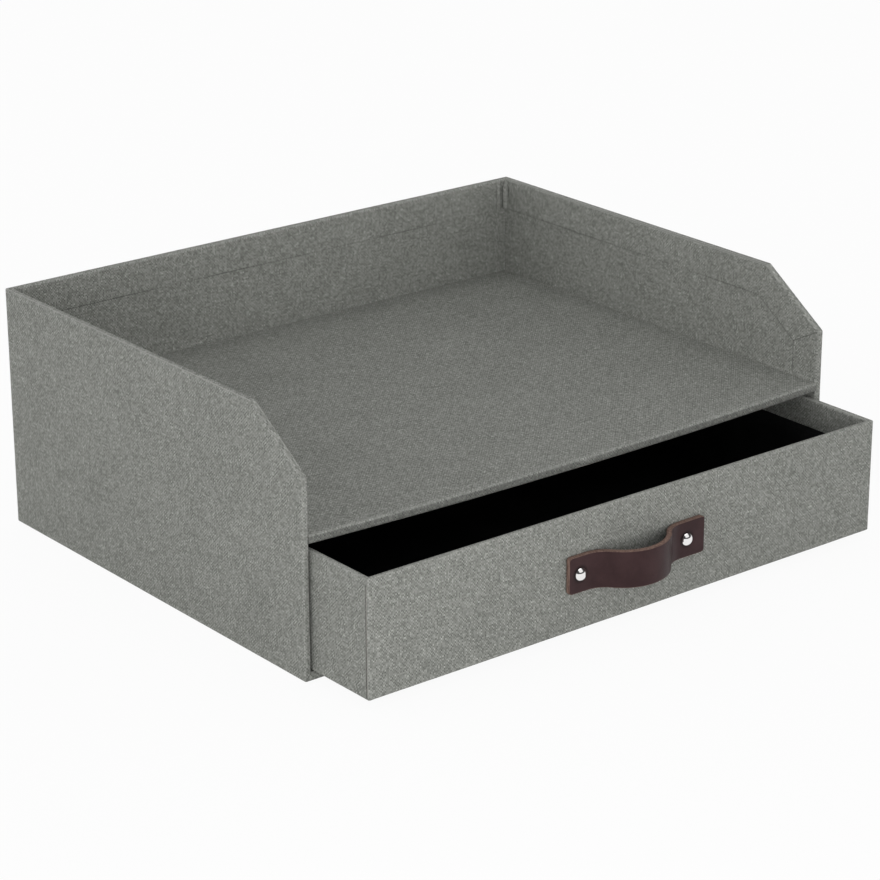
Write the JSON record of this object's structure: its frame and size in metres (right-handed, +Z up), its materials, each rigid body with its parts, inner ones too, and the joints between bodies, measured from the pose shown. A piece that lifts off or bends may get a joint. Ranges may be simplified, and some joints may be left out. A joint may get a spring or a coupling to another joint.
{
  "type": "letter tray with drawer",
  "caption": "Desk tray for letters and A4 sheets, wrapped in grey book cloth, with a shallow drawer under the tray and a bowed leather strap pull.",
  "frame": {"origin": "middle of the case's underside, on the surface that it rests on", "axes": "+X to the right as seen from the front, +Y to the back, +Z up; the drawer opens along -Y"},
  "size_m": [0.33, 0.3117, 0.127],
  "materials": {
    "greyboard": "matt grey board",
    "book_cloth": "fine woven grey-green book cloth with pale flecks, matt",
    "lining_paper": "matt black paper",
    "strap_leather": "dark brown smooth leather, satin",
    "stud_metal": "polished nickel",
    "screw_metal": "plain steel"
  },
  "bodies": {
    "case": {"side_board_left": "greyboard", "side_board_right": "greyboard", "back_board": "greyboard", "base_board": "greyboard", "shelf_board": "greyboard", "tray_lining_left": "book_cloth", "tray_lining_right": "book_cloth", "tray_lining_back": "book_cloth", "case_wrap": "book_cloth", "shelf_wrap": "book_cloth", "bay_lining_left": "lining_paper", "bay_lining_right": "lining_paper", "bay_lining_back": "lining_paper", "bay_lining_floor": "lining_paper", "bay_lining_ceiling": "lining_paper", "base_paper": "lining_paper"},
    "drawer": {"drawer_front_board": "greyboard", "drawer_back_board": "greyboard", "drawer_side_board_left": "greyboard", "drawer_side_board_right": "greyboard", "drawer_bottom_board": "greyboard", "drawer_wrap": "book_cloth", "drawer_lining_front": "lining_paper", "drawer_lining_back": "lining_paper", "drawer_lining_left": "lining_paper", "drawer_lining_right": "lining_paper", "drawer_floor_lining": "lining_paper", "drawer_base_paper": "lining_paper", "pull_strap": "strap_leather", "pull_stud_left": "stud_metal", "pull_stud_right": "stud_metal", "pull_screw_left": "screw_metal", "pull_screw_right": "screw_metal"}
  },
  "joints": [
    {"name": "drawer_slide", "type": "slide", "parent": "case", "child": "drawer", "axis": [0, -1, 0], "range_m": [-0.0419, 0.1631]}
  ]
}
